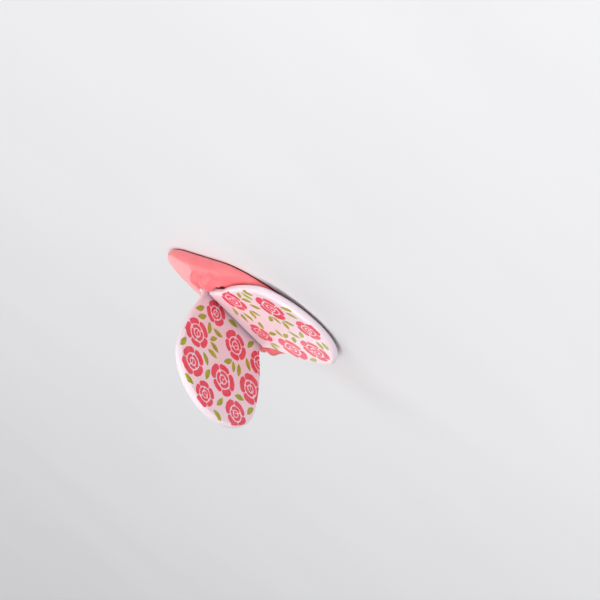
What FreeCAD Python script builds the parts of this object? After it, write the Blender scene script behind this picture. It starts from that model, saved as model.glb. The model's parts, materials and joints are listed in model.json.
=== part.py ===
import FreeCAD, Part
import math
import os

# Two-wing phone grip. A moulded base with an adhesive pad carries two identical petal-shaped wings,
# each on its own steel pin. The right wing is folded on the base and the left one stands as a leg.
# The origin is the centre of the adhesive face. +Z points out of the surface it is stuck to,
# +X runs along the base and +Y along the hinge pins. Lengths are in millimetres, angles in degrees.

# Adhesive pad
pad_thickness = 0.3
pad_inset = 0.5

# Base plate: an oval with a crown under the hinge, a well for the knuckles and two ramps for the wings
base_length = 54.4
base_width = 32.0
base_widest_at = 8.0
base_tip_radius = 14.2
base_crown_height = 3.2
base_kink_radius = 20.0
base_rim_bevel = 0.25
well_half_length = 4.4

# Hinge lines and pins
hinge_half_spacing = 2.1
hinge_height = 4.48
pin_radius = 0.5
pin_end_chamfer = 0.15
pin_running_clearance = 0.05
pin_seat_clearance = 0.02
pin_seat_depth = 1.6
pin_end_gap = 0.05
pin_recess = 0.5

# Wings, measured from the hinge line
knuckle_radius = 1.4
knuckle_blend_radius = 1.2
wing_thickness = 1.9
wing_length = 30.8
wing_half_width = 13.4
wing_end_length = 11.6
wing_flank_radius = 10.0
wing_neck_length = 2.6
wing_waist_radius = 7.0
wing_edge_bevel = 0.55
fold_slope = 6.4
open_angle = 54.0

# Gaps between the wings and the base
fold_clearance = 0.2
knuckle_clearance = 0.3
knuckle_side_clearance = 0.25

# Cheeks at both ends of the hinge
cheek_hump_radius = 1.6
cheek_valley_radius = 1.2
cheek_flank_radius = 2.2
cheek_root_depth = 1.0
cheek_foot_setback = 1.0
cheek_lean = 48.0
cheek_crest_thickness = 1.4
cheek_edge_bevel = 0.3

# How far a cutting solid overshoots
OVERSHOOT = 1.0

X_AXIS = FreeCAD.Vector(1, 0, 0)
Y_AXIS = FreeCAD.Vector(0, 1, 0)
Z_AXIS = FreeCAD.Vector(0, 0, 1)

# The folded wing's underside sets the slope of the base, and its knuckle sets the floor of the well.
# The cheeks lean in from the base's sides, and what is left between them is the length of the knuckles.
wing_underside_offset = wing_thickness - knuckle_radius
fold_tangent = math.tan(math.radians(fold_slope))
well_floor = hinge_height - knuckle_radius - knuckle_clearance
cheek_foot = base_width / 2 - cheek_foot_setback
wing_widest_at = wing_length - wing_end_length


def base_slope_height(x):
    """Height of the base's sloping top, parallel to the folded wing's underside."""
    underside = hinge_height - wing_underside_offset / math.cos(math.radians(fold_slope))
    return underside - (x - hinge_half_spacing) * fold_tangent - fold_clearance


def cheek_face(height):
    """Distance of the cheek's slanted outer face from the middle, at a height."""
    return cheek_foot - (height - base_crown_height) * math.tan(math.radians(cheek_lean))


cheek_inner_face = cheek_face(hinge_height + cheek_hump_radius) - cheek_crest_thickness
knuckle_half_length = cheek_inner_face - knuckle_side_clearance


def at(x, z):
    return FreeCAD.Vector(x, 0, z)


def line(start, end):
    return Part.LineSegment(start, end).toShape()


def arc_about(centre, start, end):
    """Arc of less than half a turn about a centre."""
    towards = (start - centre) + (end - centre)
    middle = centre + towards.normalize() * start.distanceToPoint(centre)
    return Part.Arc(start, middle, end).toShape()


def prism(edges, direction):
    wire = Part.Wire(Part.sortEdges(edges)[0])
    return Part.Face(wire).extrude(direction)


def cylinder_along_y(radius, x, z, start, end):
    return Part.makeCylinder(radius, end - start, FreeCAD.Vector(x, start, z), Y_AXIS)


def runs_along(edge, axis):
    direction = edge.tangentAt(edge.FirstParameter)
    return isinstance(edge.Curve, Part.Line) and abs(direction.dot(axis)) > 0.999


def second_radius(near, far, radius):
    """Radius of the arc that completes a quarter of an oval. The quarter measures near by far,
    and its first arc, of a given radius, is the one that touches the near side's end."""
    return ((near - radius) ** 2 + far ** 2 - radius ** 2) / (2 * (far - radius))


def round_end(spot, widest_at, half_width, length, flank_radius, tip_radius):
    """Two tangent arcs, from the widest part round to the tip on the middle line."""
    flank = spot(widest_at, half_width - flank_radius)
    tip = spot(length - tip_radius, 0)
    outwards = (tip - flank) * (flank_radius - tip_radius)
    tip_start = tip + outwards.normalize() * tip_radius
    return [
        arc_about(flank, spot(widest_at, half_width), tip_start),
        arc_about(tip, tip_start, spot(length, 0)),
    ]


def oval(inset, bottom, height):
    """Upright solid with the base's outline, drawn in by an inset."""
    half_width = base_width / 2
    flank_radius = second_radius(base_length / 2 - base_widest_at, half_width, base_tip_radius)
    edges = []
    for end in (1, -1):
        for side in (1, -1):
            def spot(x, y):
                return FreeCAD.Vector(end * x, side * y, bottom)
            edges.append(line(spot(0, half_width - inset), spot(base_widest_at, half_width - inset)))
            edges += round_end(spot, base_widest_at, half_width - inset, base_length / 2 - inset,
                               flank_radius - inset, base_tip_radius - inset)
    return prism(edges, Z_AXIS * height)


def make_pad():
    return oval(pad_inset, 0, pad_thickness)


def plate_section():
    """Section of the plate: level beside the hinge, then parallel to the folded wings."""
    end_x = base_length / 2 + OVERSHOOT
    slope = math.radians(fold_slope)
    kink_x = hinge_half_spacing
    kink_x += (base_slope_height(hinge_half_spacing) - base_crown_height) / fold_tangent
    run = base_kink_radius * math.tan(slope / 2)
    edges = []
    for side in (1, -1):
        start = at(side * (kink_x - run), base_crown_height)
        centre = start - Z_AXIS * base_kink_radius
        end = centre + at(side * math.sin(slope), math.cos(slope)) * base_kink_radius
        rim = at(side * end_x, base_slope_height(end_x))
        foot = at(side * end_x, pad_thickness)
        edges.append(line(at(0, base_crown_height), start))
        edges.append(arc_about(centre, start, end))
        edges.append(line(end, rim))
        edges.append(line(rim, foot))
        edges.append(line(foot, at(0, pad_thickness)))
    return edges


def make_plate():
    section = prism(plate_section(), Y_AXIS * (base_width + 2 * OVERSHOOT))
    section.translate(Y_AXIS * (-base_width / 2 - OVERSHOOT))
    plate = oval(0, pad_thickness, hinge_height).common(section).removeSplitter()
    rim = []
    for edge in plate.Edges:
        above_pad = min(vertex.Z for vertex in edge.Vertexes) > pad_thickness
        if above_pad and not runs_along(edge, Y_AXIS) and not runs_along(edge, Z_AXIS):
            rim.append(edge)
    plate = plate.makeChamfer(base_rim_bevel, rim)
    well = Part.makeBox(2 * well_half_length, 2 * cheek_inner_face, hinge_height,
                        FreeCAD.Vector(-well_half_length, -cheek_inner_face, well_floor))
    return plate.cut(well)


def cheek_section():
    """Cheek seen along the pins: a hump round each pin, a valley between, flanks swept to the plate."""
    valley_reach = cheek_hump_radius + cheek_valley_radius
    valley = at(0, hinge_height + math.sqrt(valley_reach ** 2 - hinge_half_spacing ** 2))
    valley_bottom = valley - Z_AXIS * cheek_valley_radius
    flank_reach = cheek_hump_radius + cheek_flank_radius
    flank_height = base_crown_height + cheek_flank_radius
    flank_run = math.sqrt(flank_reach ** 2 - (flank_height - hinge_height) ** 2)
    edges = []
    for side in (1, -1):
        hump = at(side * hinge_half_spacing, hinge_height)
        flank = at(side * (hinge_half_spacing + flank_run), flank_height)
        inner = hump + (valley - hump) * (cheek_hump_radius / valley_reach)
        outer = hump + (flank - hump) * (cheek_hump_radius / flank_reach)
        foot = flank - Z_AXIS * cheek_flank_radius
        root = foot - Z_AXIS * cheek_root_depth
        edges.append(arc_about(valley, valley_bottom, inner))
        edges.append(arc_about(hump, inner, outer))
        edges.append(arc_about(flank, outer, foot))
        edges.append(line(foot, root))
        edges.append(line(root, at(0, root.z)))
    return edges


def make_cheek():
    """The cheek on the +Y side, with its outer face leaning in and its edges bevelled."""
    cheek = prism(cheek_section(), Y_AXIS * (cheek_foot + OVERSHOOT - cheek_inner_face))
    cheek.translate(Y_AXIS * cheek_inner_face)
    reach = base_length / 2
    trim = Part.makeBox(2 * reach, reach, 2 * reach, FreeCAD.Vector(-reach, 0, -reach))
    trim.rotate(FreeCAD.Vector(0, 0, 0), X_AXIS, cheek_lean)
    trim.translate(FreeCAD.Vector(0, cheek_foot, base_crown_height))
    cheek = cheek.cut(trim).removeSplitter()
    crest = []
    for edge in cheek.Edges:
        above_root = max(vertex.Z for vertex in edge.Vertexes) > base_crown_height
        if above_root and not runs_along(edge, Y_AXIS):
            crest.append(edge)
    return cheek.makeChamfer(cheek_edge_bevel, crest)


def make_base():
    cheek = make_cheek()
    far_cheek = cheek.mirror(FreeCAD.Vector(0, 0, 0), Y_AXIS)
    base = make_plate().fuse([cheek, far_cheek])
    for side in (1, -1):
        bore = cylinder_along_y(pin_radius + pin_seat_clearance, side * hinge_half_spacing, hinge_height,
                                -base_width / 2, cheek_inner_face + pin_seat_depth)
        base = base.cut(bore)
    return base.removeSplitter()


def make_pin(side):
    """Steel pin, closed in by the +Y cheek and set a little below the face of the other one."""
    start = pin_recess - cheek_face(hinge_height)
    end = cheek_inner_face + pin_seat_depth - pin_end_gap
    pin = cylinder_along_y(pin_radius, side * hinge_half_spacing, hinge_height, start, end)
    rims = [edge for edge in pin.Edges if isinstance(edge.Curve, Part.Circle)]
    return pin.makeChamfer(pin_end_chamfer, rims)


def wing_section():
    """Section along a wing: the knuckle's top runs level into the plate, its underside is blended."""
    low = -wing_underside_offset
    reach = knuckle_radius + knuckle_blend_radius
    blend_z = low - knuckle_blend_radius
    blend = at(math.sqrt(reach ** 2 - blend_z ** 2), blend_z)
    blend_start = blend * (knuckle_radius / reach)
    blend_end = at(blend.x, low)
    far = wing_length + OVERSHOOT
    back = at(-knuckle_radius, 0)
    return [
        line(at(0, knuckle_radius), at(far, knuckle_radius)),
        line(at(far, knuckle_radius), at(far, low)),
        line(at(far, low), blend_end),
        arc_about(blend, blend_end, blend_start),
        Part.Arc(blend_start, back, at(0, knuckle_radius)).toShape(),
    ]


def wing_outline():
    """Petal seen from above, in tangent arcs: straight neck, drawn-in waist, shoulder, round end."""
    back = -knuckle_radius - OVERSHOOT
    flare = wing_half_width - knuckle_half_length
    flare_run = wing_widest_at - wing_neck_length
    shoulder_radius = (flare_run ** 2 + flare ** 2) / (2 * flare) - wing_waist_radius
    waist_share = wing_waist_radius / (wing_waist_radius + shoulder_radius)
    tip_radius = second_radius(wing_half_width, wing_end_length, wing_flank_radius)
    edges = []
    for side in (1, -1):
        def spot(x, y):
            return FreeCAD.Vector(x, side * y, -wing_thickness - knuckle_radius)
        neck = spot(wing_neck_length, knuckle_half_length)
        waist = spot(wing_neck_length, knuckle_half_length + wing_waist_radius)
        shoulder = spot(wing_widest_at, wing_half_width - shoulder_radius)
        turn = waist + (shoulder - waist) * waist_share
        widest = spot(wing_widest_at, wing_half_width)
        edges.append(line(spot(back, 0), spot(back, knuckle_half_length)))
        edges.append(line(spot(back, knuckle_half_length), neck))
        edges.append(arc_about(waist, neck, turn))
        edges.append(arc_about(shoulder, turn, widest))
        edges += round_end(spot, wing_widest_at, wing_half_width, wing_length, wing_flank_radius, tip_radius)
    return edges


def make_wing():
    """Wing in its own frame: hinge line along Y through the origin, plate towards +X, print on top."""
    section = prism(wing_section(), Y_AXIS * 2 * wing_half_width)
    section.translate(Y_AXIS * -wing_half_width)
    petal = prism(wing_outline(), Z_AXIS * (wing_thickness + 2 * knuckle_radius + OVERSHOOT))
    wing = petal.common(section).removeSplitter()
    rim = [edge for edge in wing.Edges if not runs_along(edge, Y_AXIS) and not runs_along(edge, Z_AXIS)]
    wing = wing.makeChamfer(wing_edge_bevel, rim)
    bore = cylinder_along_y(pin_radius + pin_running_clearance, 0, 0, -wing_half_width, wing_half_width)
    return wing.cut(bore)


def place_wing(wing, side, turn_about_y):
    placed = wing.copy()
    origin = FreeCAD.Vector(0, 0, 0)
    if side < 0:
        placed.rotate(origin, Z_AXIS, 180)
    placed.rotate(origin, Y_AXIS, turn_about_y)
    placed.translate(at(side * hinge_half_spacing, hinge_height))
    return placed


wing_blank = make_wing()
nodes = {
    "base": make_base(),
    "adhesive_pad": make_pad(),
    "left_wing": place_wing(wing_blank, -1, 180 - open_angle),
    "right_wing": place_wing(wing_blank, 1, fold_slope),
    "left_hinge_pin": make_pin(-1),
    "right_hinge_pin": make_pin(1),
}

os.makedirs("parts", exist_ok=True)
for name, shape in nodes.items():
    shape.exportStep("parts/" + name + ".step")
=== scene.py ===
import json
import math

import bpy
from mathutils import Matrix, Vector


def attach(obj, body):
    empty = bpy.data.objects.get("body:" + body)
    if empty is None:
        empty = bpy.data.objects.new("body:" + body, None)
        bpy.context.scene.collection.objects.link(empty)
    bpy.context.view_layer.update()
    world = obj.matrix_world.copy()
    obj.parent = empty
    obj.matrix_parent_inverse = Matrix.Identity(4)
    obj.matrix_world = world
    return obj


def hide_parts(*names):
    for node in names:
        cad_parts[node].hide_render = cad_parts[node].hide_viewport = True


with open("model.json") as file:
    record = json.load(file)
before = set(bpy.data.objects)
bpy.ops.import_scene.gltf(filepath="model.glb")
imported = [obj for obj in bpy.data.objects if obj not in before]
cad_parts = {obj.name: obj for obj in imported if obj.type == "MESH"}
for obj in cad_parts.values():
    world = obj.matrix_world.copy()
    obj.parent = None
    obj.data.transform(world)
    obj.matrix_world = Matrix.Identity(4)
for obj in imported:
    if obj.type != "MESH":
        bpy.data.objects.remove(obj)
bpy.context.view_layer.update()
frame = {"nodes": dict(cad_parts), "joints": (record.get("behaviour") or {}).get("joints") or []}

# Adhesive pad: a die-cut slab of foam tape between the base and what it is stuck to, set in a little
# from the rim.
# Its dark maroon is partly the tape's own colour and partly painted shade for the shadow gap under
# the rim, so that it shows only as a dark line round the foot.
MM = 0.001
PATCH_DETAIL = 3
GRAIN_DETAIL = 2
DARKEST_AT = 0.3
PALEST_AT = 0.7
RELIEF_STRENGTH = 0.5
FOAM_GLOSS = 0.2


def srgb(red, green, blue):
    """Linear colour from screen values of 0 to 255."""
    linear = []
    for value in (red, green, blue):
        share = value / 255
        linear.append(share / 12.92 if share <= 0.04045 else ((share + 0.055) / 1.055) ** 2.4)
    return (*linear, 1.0)


def mottled(name, dark, pale, patch, grain, roughness, relief):
    """Material whose colour drifts between two tones, with a fine grain in its gloss and relief.

    patch and grain are the sizes of the two patterns, roughness the lowest and highest value."""
    material = bpy.data.materials.new(name)
    material.use_nodes = True
    nodes, links = material.node_tree.nodes, material.node_tree.links
    shader = nodes["Principled BSDF"]
    place = nodes.new("ShaderNodeTexCoord").outputs["Object"]

    def noise(size, detail):
        pattern = nodes.new("ShaderNodeTexNoise")
        pattern.inputs["Scale"].default_value = 1 / size
        pattern.inputs["Detail"].default_value = detail
        links.new(place, pattern.inputs["Vector"])
        return pattern.outputs["Fac"]

    tones = nodes.new("ShaderNodeValToRGB")
    darkest, palest = tones.color_ramp.elements
    darkest.position, darkest.color = DARKEST_AT, dark
    palest.position, palest.color = PALEST_AT, pale
    links.new(noise(patch, PATCH_DETAIL), tones.inputs["Fac"])
    links.new(tones.outputs["Color"], shader.inputs["Base Color"])
    grains = noise(grain, GRAIN_DETAIL)
    gloss = nodes.new("ShaderNodeMapRange")
    gloss.inputs["To Min"].default_value = roughness[0]
    gloss.inputs["To Max"].default_value = roughness[1]
    links.new(grains, gloss.inputs["Value"])
    links.new(gloss.outputs["Result"], shader.inputs["Roughness"])
    bump = nodes.new("ShaderNodeBump")
    bump.inputs["Strength"].default_value = RELIEF_STRENGTH
    bump.inputs["Distance"].default_value = relief
    links.new(grains, bump.inputs["Height"])
    links.new(bump.outputs["Normal"], shader.inputs["Normal"])
    return material, shader


# The pad's dark maroon tones are partly painted shade, copying the shadow gap under the rim.
painted_shade_foam, foam_shader = mottled(
    "foam_tape_painted_shade", dark=srgb(104, 46, 56), pale=srgb(130, 60, 70),
    patch=1.2 * MM, grain=0.12 * MM, roughness=(0.75, 0.95), relief=0.02 * MM)
foam_shader.inputs["Specular IOR Level"].default_value = FOAM_GLOSS


def dress(piece, *materials):
    piece.data.materials.clear()
    for material in materials:
        piece.data.materials.append(material)


dress(frame["nodes"]["adhesive_pad"], painted_shade_foam)

# Base: one moulding in coral plastic, a crowned oval plate with two cheeks that carry the hinge pins.
# Round bosses stand over the pins' ends, low flanks run out from them beside the wings' necks, and
# every edge of the moulding is soft. It stands on the pad.
BASE_VOXEL = 0.24 * MM
BASE_SOFTENING = 7
SKIN_SOFTENING = 40
BOSS_SOFTENING = 9
SMOOTHING = 0.5
MERGE_DISTANCE = 0.002 * MM
FOOT_HEIGHT = 0.7 * MM
WELL_HALF_LENGTH = 5.2 * MM
WELL_HALF_WIDTH = 10.8 * MM
BORE_KEEP_RADIUS = 0.95 * MM
BORE_RADIUS = 0.52 * MM
BORE_END = 12.0 * MM
BORE_LENGTH = 30.0 * MM
BOSS_RADIUS = 1.65 * MM
BOSS_SIDES = 32
BOSS_PLACES = (-12.0 * MM, 12.7 * MM)
BOSS_KEEP_RADIUS = 2.0 * MM
FLANK_HALF_SIZE = (2.9 * MM, 0.8 * MM, 1.5 * MM)
FLANK_PLACE = (4.0 * MM, 11.2 * MM, 3.0 * MM)


def pick(piece):
    """Selects one object alone and makes it active."""
    bpy.ops.object.select_all(action="DESELECT")
    piece.select_set(True)
    bpy.context.view_layer.objects.active = piece


def copy_of_solid(node, name):
    """New piece with a solid's form, its loose triangles joined into one skin."""
    piece = bpy.data.objects.new(name, frame["nodes"][node].data.copy())
    bpy.context.scene.collection.objects.link(piece)
    pick(piece)
    bpy.ops.mesh.customdata_custom_splitnormals_clear()
    bpy.ops.object.mode_set(mode="EDIT")
    bpy.ops.mesh.select_all(action="SELECT")
    bpy.ops.mesh.remove_doubles(threshold=MERGE_DISTANCE)
    bpy.ops.object.mode_set(mode="OBJECT")
    return piece


def apply_modifier(piece, name, kind, **settings):
    modifier = piece.modifiers.new(name, kind)
    for setting, value in settings.items():
        setattr(modifier, setting, value)
    pick(piece)
    bpy.ops.object.modifier_apply(modifier=modifier.name)


def milky(shader, weight, depth, spread):
    """Lets light a little way into a plastic, its red furthest."""
    shader.inputs["Subsurface Weight"].default_value = weight
    shader.inputs["Subsurface Scale"].default_value = depth
    shader.inputs["Subsurface Radius"].default_value = spread


coral, coral_shader = mottled(
    "coral_plastic", dark=srgb(246, 120, 125), pale=srgb(251, 131, 135),
    patch=6 * MM, grain=0.16 * MM, roughness=(0.34, 0.46), relief=0.004 * MM)
milky(coral_shader, weight=0.15, depth=0.6 * MM, spread=(1.0, 0.35, 0.3))

hinges = {joint["name"]: Vector(joint["pos_m"]) for joint in frame["joints"]}
boss_centres = [Vector((hinge.x, y, hinge.z)) for hinge in hinges.values() for y in BOSS_PLACES]
flank_x, flank_y, flank_z = FLANK_PLACE
flank_centres = [Vector((x, y, flank_z)) for x in (-flank_x, flank_x) for y in (-flank_y, flank_y)]


def on_outer_skin(point, boss_radius):
    """Whether a point is clear of the hinge well, the pin bores, the foot's edge and the bosses."""
    in_well = abs(point.x) < WELL_HALF_LENGTH and abs(point.y) < WELL_HALF_WIDTH
    near_pin = any(math.hypot(point.x - hinge.x, point.z - hinge.z) < BORE_KEEP_RADIUS
                   for hinge in hinges.values())
    in_bore = near_pin and point.y < BORE_END
    on_boss = any((centre - point).length < boss_radius for centre in boss_centres + flank_centres)
    return point.z > FOOT_HEIGHT and not (in_well or in_bore or on_boss)


def join(pieces):
    bpy.ops.object.select_all(action="DESELECT")
    for piece in pieces:
        piece.select_set(True)
    bpy.context.view_layer.objects.active = pieces[0]
    bpy.ops.object.join()
    return pieces[0]


def copy_to(piece, name, place):
    """Copy of a piece with its own mesh, carried to its place."""
    copy = bpy.data.objects.new(name, piece.data.copy())
    bpy.context.scene.collection.objects.link(copy)
    copy.data.transform(place)
    return copy


def make_bosses():
    """Round bosses over the pins' ends, bored for the pins, and the flanks beside the necks."""
    bpy.ops.object.select_all(action="DESELECT")
    bpy.ops.mesh.primitive_uv_sphere_add(segments=BOSS_SIDES, ring_count=BOSS_SIDES // 2, radius=1)
    ball = bpy.context.object
    bpy.ops.object.select_all(action="DESELECT")
    bpy.ops.mesh.primitive_cylinder_add(
        radius=BORE_RADIUS, depth=BORE_LENGTH, rotation=(math.pi / 2, 0, 0),
        location=(0, BORE_END - BORE_LENGTH / 2, 0))
    bpy.ops.object.transform_apply()
    bore = bpy.context.object
    round_size = (BOSS_RADIUS,) * 3
    bosses = join([copy_to(ball, "boss", Matrix.LocRotScale(centre, None, round_size))
                   for centre in boss_centres])
    bores = join([copy_to(bore, "bore", Matrix.Translation(hinge)) for hinge in hinges.values()])
    apply_modifier(bosses, "bores", "BOOLEAN", operation="DIFFERENCE", object=bores, solver="EXACT")
    flanks = [copy_to(ball, "flank", Matrix.LocRotScale(centre, None, FLANK_HALF_SIZE))
              for centre in flank_centres]
    for tool in (ball, bore, bores):
        bpy.data.objects.remove(tool)
    return join([bosses] + flanks)


def soften_skin(piece, passes, boss_radius):
    """Smooths the outer skin, apart from what lies within a radius of the bosses and flanks."""
    bpy.ops.object.mode_set(mode="EDIT")
    bpy.ops.mesh.select_mode(type="VERT")
    bpy.ops.mesh.select_all(action="DESELECT")
    bpy.ops.object.mode_set(mode="OBJECT")
    for vertex in piece.data.vertices:
        vertex.select = on_outer_skin(vertex.co, boss_radius)
    bpy.ops.object.mode_set(mode="EDIT")
    bpy.ops.mesh.vertices_smooth(factor=SMOOTHING, repeat=passes)
    bpy.ops.object.mode_set(mode="OBJECT")


base = copy_of_solid("base", "moulded_base")
join([base, make_bosses()])
apply_modifier(base, "skin", "REMESH", mode="VOXEL", voxel_size=BASE_VOXEL, use_smooth_shade=True)
apply_modifier(base, "soften", "SMOOTH", factor=SMOOTHING, iterations=BASE_SOFTENING)
soften_skin(base, SKIN_SOFTENING, BOSS_KEEP_RADIUS)
soften_skin(base, BOSS_SOFTENING, 0)
dress(base, coral)
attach(base, "base")
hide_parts("base")

# Hinge pins: two lengths of drawn steel wire, one through each wing's knuckle.
# They are pressed into the cheeks from one side and end just short of their faces.
steel, steel_shader = mottled(
    "drawn_steel", dark=srgb(168, 168, 172), pale=srgb(196, 196, 200),
    patch=0.8 * MM, grain=0.08 * MM, roughness=(0.22, 0.4), relief=0.004 * MM)
steel_shader.inputs["Metallic"].default_value = 1.0
for pin in ("left_hinge_pin", "right_hinge_pin"):
    dress(frame["nodes"][pin], steel)

# Wings: two mouldings in white plastic from one mould, each a petal-shaped plate with a round knuckle
# at its root that turns on a pin. The left one stands as a leg, and the right one lies folded on the
# base. The plate's edge is rounded, and its outer face has a blush ground for the print.
OPEN_ANGLE = 54.0
FOLD_SLOPE = 6.4
WING_ROUNDING = 0.36 * MM
ROUNDING_STEPS = 4
WING_SHARP_ANGLE = math.radians(30)
FLAT_ANGLE = math.radians(0.5)
PRINT_HEIGHT = 1.4 * MM
PRINT_WRAP = 0.25 * MM
PRINT_FOOT = PRINT_HEIGHT - PRINT_WRAP
PRINT_START = 2.2 * MM

white, white_shader = mottled(
    "white_plastic", dark=srgb(243, 226, 234), pale=srgb(247, 231, 238),
    patch=7 * MM, grain=0.16 * MM, roughness=(0.28, 0.4), relief=0.004 * MM)
milky(white_shader, weight=0.2, depth=0.8 * MM, spread=(1.0, 0.7, 0.7))

blush, blush_shader = mottled(
    "blush_ground", dark=srgb(249, 224, 233), pale=srgb(250, 228, 237),
    patch=5 * MM, grain=0.14 * MM, roughness=(0.3, 0.42), relief=0.003 * MM)
milky(blush_shader, weight=0.1, depth=0.6 * MM, spread=(1.0, 0.6, 0.6))


def hinge_place(joint, turn, facing):
    """From a wing's own frame, with its hinge on Y and its print on top, to where it stands."""
    place = Matrix.Translation(hinges[joint]) @ Matrix.Rotation(math.radians(turn), 4, "Y")
    return place @ Matrix.Rotation(math.radians(facing), 4, "Z")


WING_PLACES = {
    "left_wing": hinge_place("left_wing_hinge", 180 - OPEN_ANGLE, 180),
    "right_wing": hinge_place("right_wing_hinge", FOLD_SLOPE, 0),
}


def make_plate():
    """Wing with its edges rounded, in its own frame."""
    plate = copy_of_solid("right_wing", "wing_plate")
    plate.data.transform(WING_PLACES["right_wing"].inverted())
    bpy.ops.object.mode_set(mode="EDIT")
    bpy.ops.mesh.select_all(action="SELECT")
    bpy.ops.mesh.dissolve_limited(angle_limit=FLAT_ANGLE)
    bpy.ops.object.mode_set(mode="OBJECT")
    apply_modifier(plate, "round_edges", "BEVEL", width=WING_ROUNDING, segments=ROUNDING_STEPS,
                   limit_method="ANGLE", angle_limit=WING_SHARP_ANGLE)
    return plate


def colour_plate(plate):
    """Gives the outer face its blush ground, with a clean line where the edge turns over."""
    pick(plate)
    bpy.ops.object.mode_set(mode="EDIT")
    for spot, normal in (((0, 0, PRINT_FOOT), (0, 0, 1)), ((PRINT_START, 0, 0), (1, 0, 0))):
        bpy.ops.mesh.select_all(action="SELECT")
        bpy.ops.mesh.bisect(plane_co=spot, plane_no=normal)
    bpy.ops.object.mode_set(mode="OBJECT")
    dress(plate, white, blush)
    for face in plate.data.polygons:
        printed = face.center.z > PRINT_FOOT and face.center.x > PRINT_START
        face.material_index = 1 if printed else 0
    bpy.ops.object.shade_smooth_by_angle(angle=WING_SHARP_ANGLE)
    apply_modifier(plate, "even_shading", "WEIGHTED_NORMAL", keep_sharp=True)


bare_plate = make_plate()
moulding = copy_to(bare_plate, "wing_moulding", Matrix())
colour_plate(moulding)
for node, place in WING_PLACES.items():
    wing = copy_to(moulding, "moulded_" + node, place)
    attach(wing, node)
    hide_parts(node)
bpy.data.objects.remove(moulding)

# Print on the wings: roses and sprigs of leaves in two inks, laid on the outer face of each wing as
# thin films that end where the edge turns over. Bare ground shows between the roses' petals.
FILM = 0.02 * MM
PRINT_RISE = 0.2 * MM
PETAL_POINTS = 40
PETAL_CORNER = 0.36
PETAL_SCALLOP = 0.14
SCALLOP_POWER = 4
LEAF_POINTS = 20

# Sizes and places on the print are in millimetres in the wing's own frame, and turns in degrees
LEAF_LENGTH = 3.3
LEAF_WIDTH = 1.35
LEAF_BOW = 0.12
SPRIG_GAP = 0.35
SPRIG_SPREAD = 62
SECOND_LEAF = 0.86

# Petals of the two roses: first and last angle, inner and outer share of the rose's radius
ROSE_PETALS = {
    "open": (
        (-34, 41, 0.60, 1.00), (45, 110, 0.59, 0.95), (114, 192, 0.60, 1.02), (196, 258, 0.59, 0.94),
        (262, 322, 0.60, 1.00),
        (8, 116, 0.31, 0.53), (123, 231, 0.31, 0.52), (238, 361, 0.31, 0.53),
        (40, 252, 0.05, 0.24), (-88, 24, 0.05, 0.24),
    ),
    "cupped": (
        (-8, 76, 0.57, 0.98), (80, 154, 0.58, 1.02), (158, 248, 0.57, 0.97), (252, 348, 0.58, 1.01),
        (30, 170, 0.28, 0.50), (177, 300, 0.28, 0.51), (307, 383, 0.29, 0.49),
        (-30, 160, 0.04, 0.21), (186, 304, 0.04, 0.21),
    ),
}

# Place along the wing from the hinge and across it, radius, turn and kind of each rose
LEFT_ROSES = (
    (5.4, -5.6, 3.2, 15, "cupped"), (8.6, 2.4, 3.7, 80, "open"), (14.6, -9.4, 3.8, 140, "open"),
    (22.4, -8.4, 3.7, 30, "cupped"), (27.4, -2.6, 3.2, 200, "open"), (19.8, 1.4, 4.0, 110, "open"),
    (15.6, 10.0, 3.8, 250, "cupped"), (7.2, 10.8, 3.4, 170, "open"), (25.0, 7.6, 3.5, 320, "cupped"),
)
RIGHT_ROSES = (
    (7.6, 8.4, 3.7, 40, "open"), (20.8, 7.4, 4.0, 120, "open"), (27.6, 0.4, 3.4, 75, "cupped"),
    (12.6, -8.4, 3.9, 10, "cupped"), (21.6, -7.8, 3.9, 190, "open"), (5.4, -3.6, 3.1, 300, "open"),
)

# Place of each sprig's foot beside a rose, its direction and its number of leaves
LEFT_SPRIGS = (
    (8.0, -7.8, 313, 1), (13.6, -5.4, 108, 2), (29.0, 0.6, 75, 1), (12.6, 2.8, 348, 2),
    (9.7, -1.5, 270, 1), (17.4, -6.4, 44, 1), (6.5, 5.9, 154, 1), (22.8, 10.8, 156, 1),
    (23.9, 2.9, 338, 1), (4.1, -2.0, 97, 1), (27.7, -6.1, 256, 1), (16.0, -5.5, 88, 1),
    (11.6, 8.9, 223, 1), (21.0, 5.6, 110, 1), (24.0, -3.4, 175, 1), (6.3, -9.1, 318, 1),
    (11.9, 4.7, 14, 1), (17.8, -12.0, 342, 1), (8.6, -6.8, 12, 1),
)
RIGHT_SPRIGS = (
    (11.5, 9.6, 18, 2), (24.0, 1.4, 152, 1), (13.6, -4.3, 61, 2), (10.5, 5.6, 286, 2),
    (8.3, -3.6, 10, 1), (4.4, 5.9, 244, 1), (17.6, 4.5, 254, 2), (21.0, -3.6, 134, 1),
    (4.8, -7.1, 302, 2), (25.1, 6.7, 322, 1), (6.6, 4.5, 281, 1), (23.9, -0.3, 226, 1),
    (28.5, -3.2, 256, 1), (17.0, 9.5, 132, 1), (18.9, -11.1, 194, 1), (16.5, 6.5, 160, 1),
    (8.0, -2.1, 61, 1), (4.3, -0.1, 76, 1), (25.0, 8.5, 339, 1), (15.9, -5.8, 44, 1),
    (26.4, -3.2, 259, 1), (20.3, 3.1, 256, 1), (19.0, 11.4, 152, 1),
)

rose_ink, _ = mottled(
    "rose_ink", dark=srgb(232, 64, 88), pale=srgb(244, 88, 108),
    patch=1.6 * MM, grain=0.1 * MM, roughness=(0.32, 0.46), relief=0.002 * MM)
leaf_ink, _ = mottled(
    "leaf_ink", dark=srgb(150, 152, 12), pale=srgb(180, 188, 34),
    patch=1.8 * MM, grain=0.1 * MM, roughness=(0.32, 0.46), relief=0.002 * MM)


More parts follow.
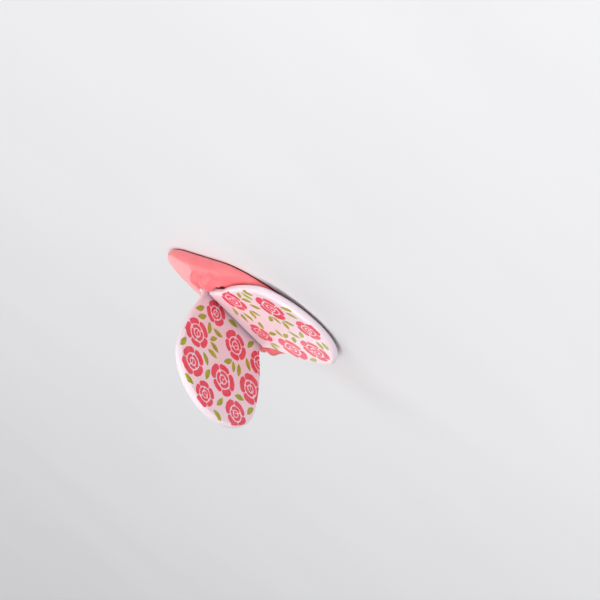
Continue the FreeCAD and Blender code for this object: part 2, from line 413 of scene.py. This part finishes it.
def round_patch(points, shape):
    """Flat patch from a circle, with each of its points moved by a rule."""
    bpy.ops.object.select_all(action="DESELECT")
    bpy.ops.mesh.primitive_circle_add(vertices=points, radius=1, fill_type="NGON")
    patch = bpy.context.object
    for vertex in patch.data.vertices:
        vertex.co = shape(vertex.co.x, vertex.co.y)
    return patch


def squared(value):
    """Pushes a point of a circle out towards a rounded square."""
    return math.copysign(abs(value) ** PETAL_CORNER, value)


def make_rose(petals):
    """Rose of radius 1, in rings of curved petals whose outer edges fall away at their ends."""
    patches = []
    for first, last, inner, outer in petals:
        middle, half = math.radians(first + last) / 2, math.radians(last - first) / 2

        def curved(along, out):
            along, out = squared(along), (squared(out) + 1) / 2
            radius = inner + (outer - inner) * out
            radius *= 1 - PETAL_SCALLOP * out * along ** SCALLOP_POWER
            turn = middle + along * half
            return Vector((radius * math.cos(turn), radius * math.sin(turn), 0))
        patches.append(round_patch(PETAL_POINTS, curved))
    rose = join(patches)
    dress(rose, rose_ink)
    return rose


def make_leaf():
    """Leaf pointed at both ends and a little bowed."""
    def pointed(along, across):
        taper = 1 - along ** 2
        width = (across / 2 + LEAF_BOW * taper) * taper ** 0.5 * LEAF_WIDTH
        return Vector((along * LEAF_LENGTH / 2, width, 0))
    leaf = round_patch(LEAF_POINTS, pointed)
    dress(leaf, leaf_ink)
    return leaf


def stamp(motif, x, y, size, turn):
    """Copy of a motif in its place on the print."""
    spot = Matrix.Translation((x * MM, y * MM, 0)) @ Matrix.Rotation(math.radians(turn), 4, "Z")
    return copy_to(motif, motif.name, spot @ Matrix.Scale(size * MM, 4))


def stamp_sprig(x, y, direction, count):
    """Leaves that fan out from one foot."""
    leaves = []
    for step in range(count):
        turn = direction + SPRIG_SPREAD * (step - (count - 1) / 2)
        size = SECOND_LEAF if step else 1.0
        reach = SPRIG_GAP + LEAF_LENGTH / 2 * size
        leaf_x = x + reach * math.cos(math.radians(turn))
        leaf_y = y + reach * math.sin(math.radians(turn))
        leaves.append(stamp(leaf, leaf_x, leaf_y, size, turn))
    return leaves


def make_film(name, stamps):
    """One ink's film: the stamps as upright solids, trimmed by the wing's skin, a film proud."""
    film = join(stamps)
    film.name = name
    bpy.ops.object.mode_set(mode="EDIT")
    bpy.ops.mesh.select_all(action="SELECT")
    bpy.ops.transform.translate(value=(0, 0, PRINT_FOOT))
    bpy.ops.mesh.extrude_region_move(
        TRANSFORM_OT_translate={"value": (0, 0, PRINT_WRAP + PRINT_RISE)})
    bpy.ops.mesh.select_all(action="SELECT")
    bpy.ops.mesh.normals_make_consistent(inside=False)
    bpy.ops.object.mode_set(mode="OBJECT")
    apply_modifier(film, "trim", "BOOLEAN", operation="INTERSECT", object=bare_plate,
                   solver="EXACT", material_mode="INDEX")
    return film


def make_print(node, name, rose_places, sprig_places):
    blooms, leaves = [], []
    for x, y, radius, turn, kind in rose_places:
        blooms.append(stamp(roses[kind], x, y, radius, turn))
    for sprig in sprig_places:
        leaves += stamp_sprig(*sprig)
    inks = join([make_film(name, blooms), make_film(name + "_leaves", leaves)])
    bpy.ops.object.shade_smooth_by_angle(angle=WING_SHARP_ANGLE)
    inks.data.transform(WING_PLACES[node])
    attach(inks, node)


apply_modifier(bare_plate, "proud", "DISPLACE", strength=FILM, mid_level=0)
roses = {kind: make_rose(petals) for kind, petals in ROSE_PETALS.items()}
leaf = make_leaf()
make_print("left_wing", "left_wing_print", LEFT_ROSES, LEFT_SPRIGS)
make_print("right_wing", "right_wing_print", RIGHT_ROSES, RIGHT_SPRIGS)
for tool in (bare_plate, leaf, *roses.values()):
    bpy.data.objects.remove(tool)

# Floor, light and camera: a plain pale floor, soft light from above, from the side and from behind,
# and a long lens at the photograph's angle, rolled so that the part lies as it does there.
FLOOR_SIZE = 6.0
FLOOR_GLOSS = 0.1
AMBIENT_LIGHT = 0.25
CAMERA_AIM = Vector((6.1, -7.2, -6.9)) * MM
CAMERA_DISTANCE = 745.7 * MM
CAMERA_AZIMUTH = 120.80
CAMERA_ELEVATION = 12.75
CAMERA_ROLL = -142.1
CAMERA_LENS = 198.695
CAMERA_SENSOR = 36.0
CAMERA_NEAREST = 0.01

bpy.ops.object.select_all(action="DESELECT")
bpy.ops.mesh.primitive_plane_add(size=FLOOR_SIZE)
floor = bpy.context.object
floor.name = "floor"
paper, paper_shader = mottled(
    "pale_floor", dark=srgb(231, 231, 233), pale=srgb(234, 234, 236),
    patch=80 * MM, grain=2 * MM, roughness=(0.6, 0.7), relief=0.001 * MM)
paper_shader.inputs["Specular IOR Level"].default_value = FLOOR_GLOSS
dress(floor, paper)


def direction(azimuth, elevation):
    """Unit vector from the object towards a compass direction, 0 being -Y and 90 +X."""
    flat, height = math.radians(azimuth), math.radians(elevation)
    ahead = math.cos(height)
    return Vector((math.sin(flat) * ahead, -math.cos(flat) * ahead, math.sin(height)))


def soft_light(name, azimuth, elevation, distance, size, power):
    bpy.ops.object.light_add(type="AREA")
    light = bpy.context.object
    light.name = name
    light.data.shape = "DISK"
    light.data.size = size
    light.data.energy = power
    away = direction(azimuth, elevation)
    light.location = away * distance
    light.rotation_mode = "QUATERNION"
    light.rotation_quaternion = (-away).to_track_quat("-Z", "Y")


soft_light("key_softbox", azimuth=110, elevation=48, distance=1.6, size=1.6, power=22.0)
soft_light("side_softbox", azimuth=200, elevation=25, distance=1.0, size=1.0, power=3.7)
soft_light("back_softbox", azimuth=282, elevation=20, distance=2.4, size=2.2, power=17.0)

world = bpy.context.scene.world or bpy.data.worlds.new("studio")
bpy.context.scene.world = world
world.use_nodes = True
surroundings = world.node_tree.nodes["Background"]
surroundings.inputs["Color"].default_value = srgb(255, 255, 255)
surroundings.inputs["Strength"].default_value = AMBIENT_LIGHT
bpy.context.scene.view_settings.view_transform = "Standard"

bpy.ops.object.camera_add()
camera = bpy.context.object
camera.data.lens = CAMERA_LENS
camera.data.sensor_width = CAMERA_SENSOR
camera.data.clip_start = CAMERA_NEAREST
away = direction(CAMERA_AZIMUTH, CAMERA_ELEVATION)
camera.location = CAMERA_AIM + away * CAMERA_DISTANCE
level = (-away).to_track_quat("-Z", "Y").to_matrix()
rolled = Matrix.Rotation(math.radians(CAMERA_ROLL), 3, away) @ level
camera.rotation_euler = rolled.to_euler()
bpy.context.scene.camera = camera
